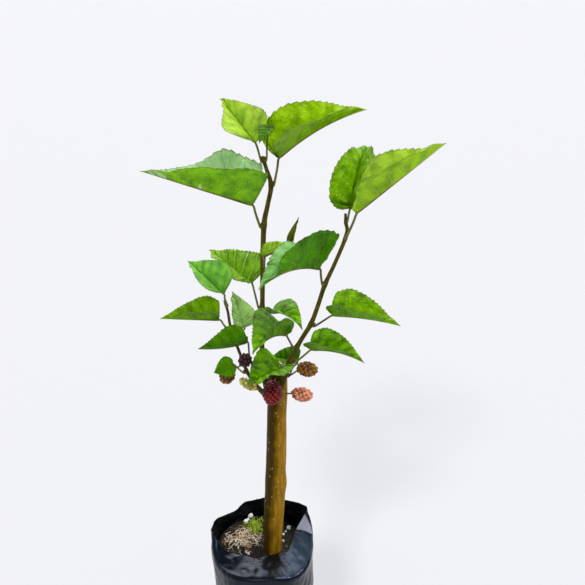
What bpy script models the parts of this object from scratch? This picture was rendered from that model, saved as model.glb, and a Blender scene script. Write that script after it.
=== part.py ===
"""A young mulberry plant, in leaf and fruit, rooted in a black nursery bag of soil.

Sizes are in millimetres and angles in degrees, turned into metres where a mesh is made.
+Z is up, -Y is the front, and the origin is the middle of the bag's flat base.
"""

from math import acos, cos, degrees, exp, pi, radians, sin, sqrt

import bmesh
import bpy
from mathutils import Matrix, Vector, noise

MM = 0.001
CLEARANCE = 0.35
STALK_GAP = 0.45
PLANT = "mulberry_plant"

# The bag: its wall, its outline from the base up, and its crumpled mouth.
BAG_WALL = 0.8
BAG_COLUMNS = 36
BAG_BASE_RADIUS = 37.0
BAG_RINGS = [(41.5, 2.0), (43.6, 9.0), (44.2, 45.0), (44.6, 85.0), (44.8, 116.0)]
BAG_LEAN = 2.5
FOLD_START = 9.0
# Round the mouth: angle, crease radius, crease height, and where the film's edge ends.
MOUTH = [
    (-180, 45.4, 160, (-45.8, 0, 171)),
    (-160, 45.0, 151, (-39, -8, 162)),
    (-142, 45.0, 147, (-31, -10, 155)),
    (-125, 45.0, 146, (-19, -12, 151)),
    (-95, 45.8, 149, (-3, -15, 150)),
    (-78, 46.3, 150, (8.5, -8.5, 149.5)),
    (-61, 49.0, 148, (17, -7, 149.5)),
    (-40, 47.8, 146, (24, -3, 150.5)),
    (1, 46.0, 160, (31, 18, 157)),
    (33, 50.0, 168, (41.5, 28, 175.5)),
    (60, 48.0, 166, (24, 42, 174)),
    (86, 47.5, 165, (3, 47.8, 173.5)),
    (112, 46.2, 163, (-17.5, 43.5, 171)),
    (126, 45.4, 158, (-27, 37.3, 164.5)),
    (150, 45.8, 159, (-40.5, 23.3, 168)),
    (180, 45.4, 160, (-45.8, 0, 171)),
]

# The soil inside the bag, with the plain hole that the stem stands in.
SOIL_GAP = 0.6
SOIL_LEVEL = 146.5
SOIL_SLOPE = 0.16
SOIL_PILE = 0.004
PILE_FROM = 15.0
SOIL_RIM = 42.0
SOIL_SAG = 2.0
SOIL_RINGS = (0.86, 0.68, 0.5, 0.33, 0.2)
MOUND = ((-17, 12), 12.0, 3.0)

# Stems: x, y, z and radius down the middle of each.
TRUNK = [(8.0, 4, 62, 8.3), (9.3, 4, 130, 8.3), (9.9, 4, 146, 8.1), (11.0, 4, 180, 8.9),
         (12.2, 4, 204, 9.1), (13.0, 4, 216, 9.7), (13.1, 4, 228, 9.0), (13.6, 4, 245, 8.8),
         (14.3, 4, 285, 8.4), (14.9, 4, 306, 8.6), (15.3, 4, 322, 8.2), (15.4, 4, 330, 7.2)]
TRUNK_HOLE = 9.1
HOLE_DEPTH = 120.0
TALL_SHOOT = [(9, 6, 296, 3.2), (3.6, 10, 318, 2.6), (1.8, 13, 342, 2.2), (2.4, 14, 379, 2.0),
              (3.3, 12, 423, 2.1), (4.6, 10, 456, 2.2), (7.7, 9, 473, 1.9), (10.6, 8, 490, 1.9),
              (6.9, 8, 504, 1.6), (3.8, 8, 514, 1.3)]
RIGHT_SHOOT = [(15, -2, 303, 3.2), (20.4, -8, 326, 2.8), (26.1, -13, 345, 2.3), (31.3, -16, 358, 2.0),
               (37.2, -18, 370, 1.9), (43.3, -18, 381, 1.9), (49.1, -17, 398, 1.8), (54, -16, 414, 1.8),
               (62, -12, 431, 1.6), (71.1, -8, 454, 1.6), (70.3, -7, 464, 1.3), (70, -6, 471, 1.1)]
LEFT_SHOOT = [(8, -1, 302, 2.5), (-2.2, -8, 318, 1.9), (-9.4, -12, 332, 1.5), (-15.4, -12, 349, 1.3),
              (-20.3, -7, 361, 1.2), (-24.1, -2, 372, 1.2), (-26, 0, 384, 1.1), (-28.6, 0, 393, 0.9)]
SHOOTS = {"trunk": TRUNK, "tall": TALL_SHOOT, "right": RIGHT_SHOOT, "left": LEFT_SHOOT}

# One half of a leaf's edge, along and across, as fractions of the blade's length.
LEAF_EDGE = [(-0.06, 0.055), (-0.105, 0.125), (-0.11, 0.215), (-0.04, 0.31), (0.08, 0.375),
             (0.22, 0.385), (0.38, 0.335), (0.54, 0.255), (0.69, 0.17), (0.82, 0.09),
             (0.92, 0.035), (1.0, 0.0)]
BLADE = 0.8
TOOTH = 0.018
FAN = 0.36
DOME_AT = 0.37
DOME_REACH = 0.13
TIP_OPENING = 0.5
# Each leaf: its shoot and node height, the blade's base and tip, and the folds of the
# left and right halves. Extras: width, taper, pinch and dome of the halves, arch, lobe and roll.
LEAVES = {
    "leaf_tall_left": ("tall", 455, (-5, 0, 476), (-90, -22, 511), (62, 66),
                       dict(width=(0.97, 1.0), taper=(0.32, 0.45), dome=(0, 0.34), lobe=0.2)),
    "leaf_tall_rear": ("tall", 510, (-2, 10, 525), (-32, 62, 548), (18, 58),
                       dict(width=(1.05, 0.9), taper=(0.4, 0), lobe=0.4)),
    "leaf_tall_right": ("tall", 490, (18, 14, 511), (88, 40, 544), (64, 44),
                        dict(width=(1.12, 1.0), taper=(0.1, 0), pinch=(0.25, 0), arch=0.06, lobe=0.3)),
    "leaf_tall_pale": ("tall", 420, (5, -8, 436), (27, -12, 447), (32, 32),
                       dict(width=(1.3, 1.3), lobe=0.5)),
    "leaf_tall_round": ("tall", 373, (11, 8, 378), (36, -22, 376), (30, 30),
                        dict(width=(1.1, 0.7), arch=0.15, lobe=0.5)),
    "leaf_tall_veined": ("tall", 379, (-7, 20, 401), (-45, 62, 415), (25, 52), dict(lobe=0.5)),
    "leaf_tall_bud": ("tall", 429, (27, 6, 442), (33, 12, 462), (34, 34), dict(width=(0.55, 0.55), lobe=0.2)),
    "leaf_tall_young": ("tall", 511, (9, 2, 539), (2, -12, 530), (20, 20), dict(lobe=0.5)),
    "leaf_right_long": ("right", 452, (79, -24, 478), (143, -42, 539), (54, 41),
                        dict(pinch=(0.8, 0.95), lobe=0.2)),
    "leaf_right_cupped": ("right", 464, (75, 6, 474), (92, 66, 506), (45, 44),
                          dict(width=(0.86, 1.0), arch=0.14, lobe=0.6)),
    "leaf_right_arched": ("right", 414, (49, -24, 430), (2, -76, 434), (78, 34),
                          dict(width=(1.35, 1.05), taper=(0.7, 0), arch=0.1, lobe=0.2)),
    "leaf_right_outer": ("right", 380, (61, -22, 389), (114, -40, 388), (50, 42),
                         dict(width=(1.07, 1.07), arch=0.03, lobe=0.3)),
    "leaf_right_lower": ("right", 344, (44, -22, 358), (86, -40, 355), (50, 40),
                         dict(width=(1.07, 1.07), arch=0.08, lobe=0.3)),
    "leaf_right_front": ("right", 358, (22, -30, 375), (-3, -78, 381), (70, 40),
                         dict(width=(0.7, 1.3), arch=0.1)),
    "leaf_foot_front": ("right", 336, (18.6, -19, 341), (-9, -51, 341), (15, 32),
                        dict(width=(1.0, 1.3), lobe=0.3)),
    "leaf_foot_rear": ("trunk", 322, (31, 3, 335), (9, 12, 335), (5, 60),
                       dict(width=(1.1, 1.3), taper=(-0.2, -0.2), arch=0.05, lobe=0.3)),
    "leaf_left_top": ("left", 389, (-29, -2, 400), (-61, 34, 415), (26, 68),
                      dict(width=(1.0, 1.2), pinch=(0, 0.2), lobe=0.3)),
    "leaf_left_outer": ("left", 367, (-33, -10, 380), (-81, -12, 382), (45, 52),
                        dict(width=(1.15, 1.15), pinch=(0.2, 0.2), lobe=0.1)),
    "leaf_left_lower": ("left", 323, (-10, -22, 365), (-49, -34, 365), (45, 52),
                        dict(width=(1.2, 1.2), pinch=(0.2, 0.2), arch=-0.05, lobe=0.3)),
    "leaf_left_veined": ("left", 360, (-13, 11, 364), (-24, 33, 388), (30, 50),
                         dict(width=(0.9, 1.1), lobe=0.3)),
    "leaf_left_small": ("left", 334, (-22.5, -16, 342), (-37.5, -20, 336.5), (10, 10),
                        dict(width=(1.25, 1.25), taper=(-0.5, -0.5), roll=-55)),
}

# Each fruit: its shoot and node height, middle, length, width and the way its tip points.
FRUITS = {
    "fruit_purple": ("left", 345, (-11, -26, 351), 12.5, 11, (-0.2, -1, -0.3)),
    "fruit_brown": ("left", 340, (-27, -8, 328), 15, 12.5, (-0.5, 0, -1)),
    "fruit_green": ("left", 317, (-9, -20, 326), 17, 8.5, (-1, 0, 0.6)),
    "fruit_red": ("trunk", 324, (11, -18, 317), 21, 16.0, (-0.1, -0.2, -1)),
    "fruit_olive": ("right", 331, (40, -18, 339), 17.5, 12.5, (1, -0.1, -0.1)),
    "fruit_orange": ("trunk", 307, (36, -2, 307), 18.5, 12.0, (1, -0.1, -0.1)),
}
DRUPELET = 0.16
DRUPELET_REACH = 32.0
HEEL = 0.42

COLOURS = {
    "bag": (0.012, 0.013, 0.015), "soil": (0.03, 0.022, 0.016), "bark": (0.32, 0.21, 0.05),
    "leaf": (0.12, 0.36, 0.03), "dark_leaf": (0.05, 0.22, 0.04), "fruit_purple": (0.03, 0.006, 0.012),
    "fruit_brown": (0.12, 0.05, 0.02), "fruit_green": (0.5, 0.47, 0.15), "fruit_red": (0.16, 0.01, 0.012),
    "fruit_olive": (0.26, 0.15, 0.05), "fruit_orange": (0.55, 0.24, 0.13),
}

DARK_LEAVES = ("leaf_right_arched", "leaf_left_lower", "leaf_foot_front", "leaf_foot_rear")


def clear_scene():
    for thing in list(bpy.data.objects):
        bpy.data.objects.remove(thing)


def collection(name):
    group = bpy.data.collections.new(name)
    bpy.context.scene.collection.children.link(group)
    return group


def material(name, colour, roughness):
    finish = bpy.data.materials.new(name)
    finish.use_nodes = True
    shader = finish.node_tree.nodes["Principled BSDF"]
    shader.inputs["Base Color"].default_value = (*colour, 1)
    shader.inputs["Roughness"].default_value = roughness
    return finish


def object_from(mesh_maker, name, group):
    """A new object whose mesh is the edited bmesh, in millimetres until it is finished."""
    mesh = bpy.data.meshes.new(name)
    mesh_maker.to_mesh(mesh)
    mesh_maker.free()
    thing = bpy.data.objects.new(name, mesh)
    group.objects.link(thing)
    return thing


def evaluated_mesh(thing):
    bpy.context.view_layer.update()
    graph = bpy.context.evaluated_depsgraph_get()
    return bpy.data.meshes.new_from_object(thing.evaluated_get(graph))


def apply_modifiers(thing):
    mesh = evaluated_mesh(thing)
    thing.modifiers.clear()
    thing.data = mesh


def round_curve(rows, steps):
    """Points on the smooth curve through rows of numbers, with steps to each span."""
    points = []
    for index in range(len(rows) - 1):
        before, start = rows[max(index - 1, 0)], rows[index]
        end, after = rows[index + 1], rows[min(index + 2, len(rows) - 1)]
        for step in range(steps):
            points.append(blend_row(before, start, end, after, step / steps))
    points.append(tuple(rows[-1]))
    return points


def blend_row(before, start, end, after, t):
    return tuple(0.5 * (2 * b + (c - a) * t + (2 * a - 5 * b + 4 * c - d) * t * t
                        + (3 * b - a - 3 * c + d) * t ** 3)
                 for a, b, c, d in zip(before, start, end, after))


def tube(name, rows, group, roundness, steps=2):
    """A round tube down a curve of (x, y, z, radius) rows, as a closed mesh."""
    points = round_curve(rows, steps)
    curve = bpy.data.curves.new(name, "CURVE")
    curve.dimensions = "3D"
    curve.bevel_depth = 1
    curve.bevel_resolution = roundness
    curve.use_fill_caps = True
    spline = curve.splines.new("POLY")
    spline.points.add(len(points) - 1)
    for point, (x, y, z, radius) in zip(spline.points, points):
        point.co = (x, y, z, 1)
        point.radius = radius
    drawn = bpy.data.objects.new("drawn_curve", curve)
    group.objects.link(drawn)
    mesh = evaluated_mesh(drawn)
    welded = bmesh.new()
    welded.from_mesh(mesh)
    bmesh.ops.remove_doubles(welded, verts=welded.verts, dist=0.001)
    bmesh.ops.recalc_face_normals(welded, faces=welded.faces)
    welded.to_mesh(mesh)
    welded.free()
    thing = bpy.data.objects.new(name, mesh)
    thing.matrix_world = drawn.matrix_world
    bpy.data.objects.remove(drawn)
    group.objects.link(thing)
    return thing


def fuse(body, pieces, solver="EXACT"):
    """One closed body from a body and the pieces sunk into it, which are then removed."""
    group = collection(body.name + "_pieces")
    for piece in pieces:
        for owner in list(piece.users_collection):
            owner.objects.unlink(piece)
        group.objects.link(piece)
    union = body.modifiers.new("union", "BOOLEAN")
    union.operation = "UNION"
    union.operand_type = "COLLECTION"
    union.collection = group
    union.solver = solver
    apply_modifiers(body)
    for piece in pieces:
        bpy.data.objects.remove(piece)
    bpy.data.collections.remove(group)
    return body


def finish(thing, surface, sharp_angle=50):
    """The modifiers applied, the mesh brought to metres, and the surface put on."""
    apply_modifiers(thing)
    thing.data.transform(Matrix.Scale(MM, 4))
    thing.data.materials.clear()
    thing.data.materials.append(surface)
    thing.data.shade_smooth()
    thing.data.set_sharp_from_angle(angle=radians(sharp_angle))


def between(table, angle):
    """The row of a table that starts with angles, at any angle between two of them."""
    for low, high in zip(table, table[1:]):
        if low[0] <= angle <= high[0]:
            share = (angle - low[0]) / (high[0] - low[0])
            numbers = [a + (b - a) * share for a, b in zip(low[1:3], high[1:3])]
            return numbers[0], numbers[1], Vector(low[3]).lerp(Vector(high[3]), share)
    raise ValueError(angle)


def wall_point(angle, radius, height):
    """A corner of the bag's wall, a little crinkled and leaning as the bag does."""
    crinkle = 0.7 * sin(3 * angle + height / 19) + 0.5 * sin(7 * angle - height / 31)
    lean = BAG_LEAN * min(height / 120, 1)
    fade = min(height / 40, 1) * (1 - min(max(height - 110, 0) / 30, 1))
    return Vector(((radius + crinkle * fade) * cos(angle) + lean * fade,
                   (radius + crinkle * fade) * sin(angle), height))


def bag_column(angle):
    """The bag's outer film from its base to its edge, at one angle round it."""
    crease_radius, crease_height, edge = between(MOUTH, degrees(angle))
    column = [Vector((BAG_BASE_RADIUS * cos(angle), BAG_BASE_RADIUS * sin(angle), 0))]
    column += [wall_point(angle, radius, height) for radius, height in BAG_RINGS]
    crease = Vector((crease_radius * cos(angle), crease_radius * sin(angle), crease_height))
    below = crease - Vector((0, 0, FOLD_START))
    middle = crease.lerp(edge, 0.5) + Vector((0, 0, 0.8))
    return column + [below, crease, middle, edge]


def loft(columns, centre=None):
    """A bmesh skin over columns of points that stand round an axis."""
    skin = bmesh.new()
    grid = [[skin.verts.new(point) for point in column] for column in columns]
    for here, there in zip(grid, grid[1:] + grid[:1]):
        for index in range(len(here) - 1):
            skin.faces.new((here[index], there[index], there[index + 1], here[index + 1]))
    skin.faces.new([column[0] for column in reversed(grid)])
    if centre is not None:
        top = skin.verts.new(centre)
        for here, there in zip(grid, grid[1:] + grid[:1]):
            skin.faces.new((here[-1], there[-1], top))
    bmesh.ops.triangulate(skin, faces=[face for face in skin.faces if len(face.verts) == 4])
    return skin


def column_angles():
    return [-pi + 2 * pi * index / BAG_COLUMNS for index in range(BAG_COLUMNS)]


def build_bag(group, surface):
    bag = object_from(loft([bag_column(angle) for angle in column_angles()]), "nursery_bag", group)
    film = bag.modifiers.new("film", "SOLIDIFY")
    film.thickness = BAG_WALL
    film.offset = -1
    finish(bag, surface, 35)
    return bag


def soil_height(x, y):
    (mound_x, mound_y), spread, rise = MOUND
    distance = ((x - mound_x) / spread) ** 2 + ((y - mound_y) / (spread * 1.2)) ** 2
    lumps = 1.3 * noise.noise(Vector((x / 7, y / 7, 0.4)))
    slope = SOIL_SLOPE * y + SOIL_PILE * max(0, y - PILE_FROM) ** 2
    return SOIL_LEVEL + lumps + slope + rise * exp(-distance)


def soil_column(angle):
    """The soil's side, then its lumpy top inwards to the last ring."""
    inset = BAG_WALL + SOIL_GAP
    column = [Vector(((BAG_BASE_RADIUS - 1.5) * cos(angle), (BAG_BASE_RADIUS - 1.5) * sin(angle), inset))]
    for radius, height in BAG_RINGS:
        column.append(wall_point(angle, radius - inset, height + inset * (height < 5)))
    x, y = SOIL_RIM * cos(angle), SOIL_RIM * sin(angle)
    column.append(Vector((x, y, soil_height(x, y) - SOIL_SAG)))
    column += [Vector((x * share, y * share, soil_height(x * share, y * share))) for share in SOIL_RINGS]
    return column


def build_soil(group, cutters, surface):
    skin = loft([soil_column(angle) for angle in column_angles()], Vector((0, 0, soil_height(0, 0))))
    soil = object_from(skin, "soil", group)
    bottom, top = Vector(TRUNK[0][:3]), Vector(TRUNK[2][:3])
    lean = (top - bottom).normalized()
    bpy.ops.mesh.primitive_cylinder_add(vertices=24, radius=TRUNK_HOLE, depth=HOLE_DEPTH)
    hole = bpy.context.object
    hole.name = "stem_hole"
    hole.matrix_world = (Matrix.Translation(bottom + lean * (HOLE_DEPTH / 2 - 2 * CLEARANCE))
                         @ Vector((0, 0, 1)).rotation_difference(lean).to_matrix().to_4x4())
    for owner in list(hole.users_collection):
        owner.objects.unlink(hole)
    cutters.objects.link(hole)
    hole.display_type = "WIRE"
    hole.hide_render = True
    cut = soil.modifiers.new("stem hole", "BOOLEAN")
    cut.operation = "DIFFERENCE"
    cut.object = hole
    finish(soil, surface, 60)
    bpy.data.objects.remove(hole)
    return soil


def build_stem(group, surface):
    stem = tube("woody_stem", TRUNK, group, 4, 1)
    shoots = [tube("shoot", rows, group, 2) for rows in (TALL_SHOOT, RIGHT_SHOOT, LEFT_SHOOT)]
    fuse(stem, shoots)
    finish(stem, surface)
    return stem


def node_on(shoot, height, towards):
    """Where a stalk leaves a shoot at a height: the first two points of its middle line."""
    rows = round_curve(SHOOTS[shoot], 4)
    low, high = next((a, b) for a, b in zip(rows, rows[1:]) if a[2] <= height <= b[2])
    share = (height - low[2]) / (high[2] - low[2])
    middle = Vector(low[:3]).lerp(Vector(high[:3]), share)
    radius = low[3] + (high[3] - low[3]) * share
    along = (Vector(high[:3]) - Vector(low[:3])).normalized()
    out = Vector(towards) - middle
    out = (out - along * out.dot(along)).normalized()
    start = middle + out * (radius + STALK_GAP)
    return start, start + out * 1.8


def edge_point(share):
    """A point on half the leaf's edge, from the base lobe (0) to the tip (1)."""
    place = min(max(share, 0), 1) * (len(LEAF_EDGE) - 1)
    index = min(int(place), len(LEAF_EDGE) - 2)
    rows = [LEAF_EDGE[min(max(k, 0), len(LEAF_EDGE) - 1)] for k in range(index - 1, index + 3)]
    return Vector(blend_row(*rows, place - index))


def toothed_edge(share, tooth):
    """The edge pushed out and towards the tip where a tooth stands on it."""
    point = edge_point(share)
    run = (edge_point(share + 0.01) - edge_point(share - 0.01)).normalized()
    size = TOOTH * tooth * min(1, 4 * (1 - share))
    return point + Vector((run.y, -run.x)) * -size + run * size * 0.6


def rib_point(share):
    """Where the vein to that part of the edge leaves the midrib."""
    return max(0, (share - FAN) / (1 - FAN)) ** 1.15


def leaf_frame(base, tip, roll=0):
    """A blade's base, its forward, up and right directions, and its length."""
    base, tip = Vector(base), Vector(tip)
    forward = (tip - base).normalized()
    up = (Vector((0, 0, 1)) - forward * forward.z).normalized()
    right = forward.cross(up)
    turn = radians(roll)
    up = up * cos(turn) + right * sin(turn)
    return base, forward, up, forward.cross(up), (tip - base).length


def leaf_point(frame, folds, shape, x, y):
    """A point of the flat blade carried onto its folded and arched form."""
    base, forward, up, right, length = frame
    half = 1 if y >= 0 else 0
    width = shape.get("width", (1, 1))[half] * (1 - shape.get("taper", (0, 0))[half] * max(x, 0))
    width *= 1 - shape.get("pinch", (0, 0))[half] * max(0, 1 - max(x, 0) / 0.35)
    width *= 1 + shape.get("dome", (0, 0))[half] * exp(-((x - DOME_AT) / DOME_REACH) ** 2)
    across = abs(y) * width
    arch = shape.get("arch", 0)
    if x < 0:
        x *= shape.get("lobe", 1)
    slope = arch * 4 * (1 - 2 * max(x, 0))
    rise = arch * 4 * x * (1 - x) if x > 0 else slope * x
    level = 1 / sqrt(1 + slope * slope)
    lift = (up - forward * slope) * level
    fold = radians(folds[half]) * (1 - TIP_OPENING * max(x, 0) ** 4)
    side = right if half else -right
    return base + length * (forward * x + up * rise + side * across * cos(fold) + lift * across * sin(fold))


def leaf_blade(name, frame, folds, shape, teeth, group):
    """The blade: a grid of veins by columns, moved to the leaf's form and given thickness."""
    rows, columns = 2 * teeth, 4
    sheet = bmesh.new()
    bmesh.ops.create_grid(sheet, x_segments=columns, y_segments=rows, size=1)
    for corner in sheet.verts:
        across, share = corner.co.x, (corner.co.y + 1) / 2
        row = round(share * rows)
        edge = toothed_edge(share, row % 2 if 1 < row < rows - 1 else 0)
        rib = rib_point(share)
        x = rib + (edge.x - rib) * abs(across)
        y = edge.y * across
        corner.co = leaf_point(frame, folds, shape, x, y)
    bmesh.ops.remove_doubles(sheet, verts=sheet.verts, dist=0.01)
    bmesh.ops.triangulate(sheet, faces=sheet.faces)
    blade = object_from(sheet, name, group)
    thickness = blade.modifiers.new("thickness", "SOLIDIFY")
    thickness.thickness = BLADE
    thickness.offset = 0
    apply_modifiers(blade)
    return blade


def build_leaf(name, group, surface):
    shoot, height, base, tip, folds, shape = LEAVES[name]
    frame = leaf_frame(base, tip, shape.get("roll", 0))
    length = frame[4]
    blade = leaf_blade(name, frame, folds, shape, 10 if length > 60 else 8 if length > 35 else 6, group)
    start, second = node_on(shoot, height, base)
    thick = 0.62 + 0.004 * length
    inside = leaf_point(frame, folds, shape, 2.5 / length, 0)
    before = frame[0] - frame[1] * 1.5
    rows = [(*start, thick * 1.25), (*second, thick * 1.1), (*start.lerp(frame[0], 0.6), thick),
            (*before, thick), (*inside, thick * 0.8)]
    stalk = tube("stalk", rows, group, 1, 1)
    fuse(blade, [stalk])
    finish(blade, surface)
    return blade


def build_fruit(name, group, surface):
    """A fruit of drupelets: a ball whose corners rise and sink by turns, on its stalk."""
    shoot, height, middle, length, width, towards = FRUITS[name]
    ball = bmesh.new()
    bmesh.ops.create_icosphere(ball, subdivisions=2, radius=1)
    crowns = [corner.co.normalized() for corner in ball.verts]
    bmesh.ops.subdivide_edges(ball, edges=ball.edges, cuts=1, use_grid_fill=True)
    turn = Vector((0, 0, 1)).rotation_difference(Vector(towards)).to_matrix()
    for corner in ball.verts:
        way = corner.co.normalized()
        nearest = min(acos(max(-1, min(1, way.dot(crown)))) for crown in crowns)
        relief = 1 + DRUPELET * (0.5 - min(nearest / radians(DRUPELET_REACH), 1))
        corner.co = turn @ Vector((way.x * width / 2, way.y * width / 2, way.z * length / 2)) * relief
        corner.co += Vector(middle)
    fruit = object_from(ball, name, group)
    heel = Vector(middle) - Vector(towards).normalized() * length * HEEL
    start, second = node_on(shoot, height, heel)
    rows = [(*start, 0.8), (*second, 0.75), (*heel.lerp(Vector(middle), 0.3), 0.75)]
    fuse(fruit, [tube("stalk", rows, group, 1, 1)])
    finish(fruit, surface, 40)
    return fruit


def main():
    clear_scene()
    plant = collection(PLANT)
    cutters = collection("cutters")
    build_bag(plant, material("polythene_film", COLOURS["bag"], 0.3))
    build_soil(plant, cutters, material("potting_soil", COLOURS["soil"], 0.95))
    build_stem(plant, material("mulberry_bark", COLOURS["bark"], 0.7))
    for name in LEAVES:
        tone = "dark_leaf" if name in DARK_LEAVES else "leaf"
        build_leaf(name, plant, material(name, COLOURS[tone], 0.45))
    for name in FRUITS:
        build_fruit(name, plant, material(name, COLOURS[name], 0.4))


main()
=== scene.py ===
"""The looks of a young mulberry plant that grows in a black nursery bag of soil.

Shapes are made in millimetres and brought to metres when they are finished.
+Z is up and -Y is the side that the camera sees.
"""

from math import cos, degrees, exp, pi, radians, sin, sqrt
from random import Random

import bpy
from mathutils import Matrix, Vector, noise


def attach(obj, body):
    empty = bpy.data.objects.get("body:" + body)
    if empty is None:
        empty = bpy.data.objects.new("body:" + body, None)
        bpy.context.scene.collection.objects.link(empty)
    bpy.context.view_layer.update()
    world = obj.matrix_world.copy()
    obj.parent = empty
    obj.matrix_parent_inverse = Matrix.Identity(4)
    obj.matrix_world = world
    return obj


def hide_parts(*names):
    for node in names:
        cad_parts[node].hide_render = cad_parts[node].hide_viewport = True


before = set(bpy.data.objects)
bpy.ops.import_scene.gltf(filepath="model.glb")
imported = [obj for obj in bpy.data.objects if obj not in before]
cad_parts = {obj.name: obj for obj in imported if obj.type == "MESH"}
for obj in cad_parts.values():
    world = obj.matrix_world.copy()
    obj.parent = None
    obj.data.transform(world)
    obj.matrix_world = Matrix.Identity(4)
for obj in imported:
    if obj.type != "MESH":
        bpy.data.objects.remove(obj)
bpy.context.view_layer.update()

MM = 0.001

# The bag's film: its base, its rings of radius and height, and its crumpled mouth.
FILM = 0.5
BAG_TURNS = 168
BAG_BASE_RADIUS = 37.0
BAG_RINGS = [(41.5, 2.0), (43.6, 9.0), (44.2, 45.0), (44.6, 85.0), (44.8, 116.0)]
BAG_LEAN = 2.5
FOLD_START = 9.0
# Round the mouth: angle, crease radius, crease height, and where the film's edge ends.
MOUTH = [
    (-180, 45.4, 160, (-45.8, 0, 171)),
    (-160, 45.0, 151, (-39, -8, 162)),
    (-142, 45.0, 147, (-31, -10, 155)),
    (-125, 45.0, 146, (-19, -12, 151)),
    (-95, 45.8, 149, (-3, -15, 150)),
    (-78, 46.3, 150, (8.5, -8.5, 149.5)),
    (-61, 49.0, 148, (17, -7, 149.5)),
    (-40, 47.8, 146, (24, -3, 150.5)),
    (1, 46.0, 160, (31, 18, 157)),
    (33, 50.0, 168, (41.5, 28, 175.5)),
    (60, 48.0, 166, (24, 42, 174)),
    (86, 47.5, 165, (3, 47.8, 173.5)),
    (112, 46.2, 163, (-17.5, 43.5, 171)),
    (126, 45.4, 158, (-27, 37.3, 164.5)),
    (150, 45.8, 159, (-40.5, 23.3, 168)),
    (180, 45.4, 160, (-45.8, 0, 171)),
]

# The soil's top: its level, its rise to the rear, and its mound at the stem's left.
SOIL_LEVEL = 146.5
SOIL_SLOPE = 0.16
SOIL_PILE = 0.004
PILE_FROM = 15.0
SOIL_RIM = 43.6
MOUND = ((-17, 12), 12.0, 3.0)
SOIL_RINGS = 48
# Nothing lies nearer to the stem's middle than the root of this.
STEM_CLEAR = 110
CRUMBS = 900
STRANDS = 55
MOSS_LEAFLETS = 330
MOSS_AT = (-7.5, 29)
MOSS_REACH = 40

# Stems: x, y, z and radius down the middle of each.
TRUNK = [(8.0, 4, 62, 8.3), (9.3, 4, 130, 8.3), (9.9, 4, 146, 8.1), (11.0, 4, 180, 8.9),
         (12.2, 4, 204, 9.1), (13.0, 4, 216, 9.7), (13.1, 4, 228, 9.0), (13.6, 4, 245, 8.8),
         (14.3, 4, 285, 8.4), (14.9, 4, 306, 8.6), (15.3, 4, 322, 8.2), (15.4, 4, 330, 7.2)]
TALL_SHOOT = [(9, 6, 296, 3.2), (3.6, 10, 318, 2.6), (1.8, 13, 342, 2.2), (2.4, 14, 379, 2.0),
              (3.3, 12, 423, 2.1), (4.6, 10, 456, 2.2), (7.7, 9, 473, 1.9), (10.6, 8, 490, 1.9),
              (6.9, 8, 504, 1.6), (3.8, 8, 514, 1.3)]
RIGHT_SHOOT = [(15, -2, 303, 3.2), (20.4, -8, 326, 2.8), (26.1, -13, 345, 2.3), (31.3, -16, 358, 2.0),
               (37.2, -18, 370, 1.9), (43.3, -18, 381, 1.9), (49.1, -17, 398, 1.8), (54, -16, 414, 1.8),
               (62, -12, 431, 1.6), (71.1, -8, 454, 1.6), (70.3, -7, 464, 1.3), (70, -6, 471, 1.1)]
LEFT_SHOOT = [(8, -1, 302, 2.5), (-2.2, -8, 318, 1.9), (-9.4, -12, 332, 1.5), (-15.4, -12, 349, 1.3),
              (-20.3, -7, 361, 1.2), (-24.1, -2, 372, 1.2), (-26, 0, 384, 1.1), (-28.6, 0, 393, 0.9)]
SHOOTS = {"trunk": TRUNK, "tall": TALL_SHOOT, "right": RIGHT_SHOOT, "left": LEFT_SHOOT}

# One half of a leaf's edge, along and across, as fractions of the blade's length.
LEAF_EDGE = [(-0.06, 0.055), (-0.105, 0.125), (-0.11, 0.215), (-0.04, 0.31), (0.08, 0.375),
             (0.22, 0.385), (0.38, 0.335), (0.54, 0.255), (0.69, 0.17), (0.82, 0.09),
             (0.92, 0.035), (1.0, 0.0)]
WIDEST = 0.385
# Side veins that meet the edge before this share fan out from the stalk.
FAN = 0.36
# The share of the fold that is lost at the tip.
TIP_OPENING = 0.5
BLADE = 0.35
# Where each side vein meets the edge, from the base lobe (0) to the tip (1).
VEINS = [0, 0.13, 0.29, 0.42, 0.54, 0.65, 0.745, 0.83, 0.905, 0.96, 1]
HALF_COLUMNS = 12
VEIN_CURVE = 0.035
# Relief as fractions of the blade's length: the teeth, the cushions between veins, the fine
# puckers, and the waves of the edge.
TOOTH = 0.015
QUILT = 0.015
PUCKER = 0.02
RUFFLE = 0.024
# How far each half curls down towards its edge, in degrees.
CURL = 22
DOME_AT = 0.37
DOME_REACH = 0.13
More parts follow.
